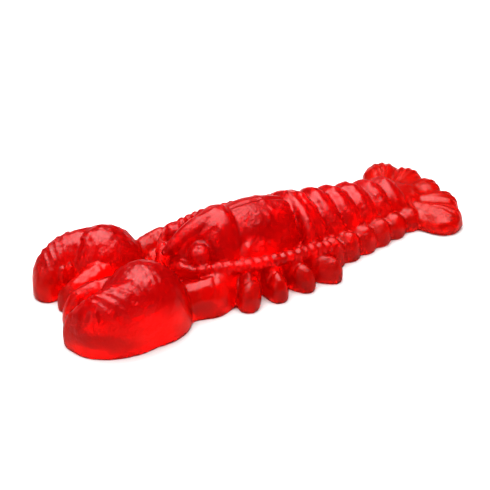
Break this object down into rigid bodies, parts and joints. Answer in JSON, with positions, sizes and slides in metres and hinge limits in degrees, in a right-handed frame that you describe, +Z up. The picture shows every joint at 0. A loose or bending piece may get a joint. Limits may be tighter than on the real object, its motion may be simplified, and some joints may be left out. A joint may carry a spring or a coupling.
{
  "type": "gummy lobster",
  "caption": "Moulded red jelly sweet in the shape of a lobster, with claws, segmented tail and fan, lying on its flat underside.",
  "frame": {"origin": "middle of the sweet's bounding box, on the surface that its flat underside lies on", "axes": "+X along the sweet from the claws to the tail fan, +Y towards its left side, +Z up out of its back"},
  "size_m": [0.077, 0.028, 0.0125],
  "materials": {
    "red_jelly": "translucent deep red gelatine jelly with a soft satin sheen and a thin trace of oil"
  },
  "bodies": {
    "root": {"gummy_lobster": "red_jelly"}
  },
  "joints": []
}
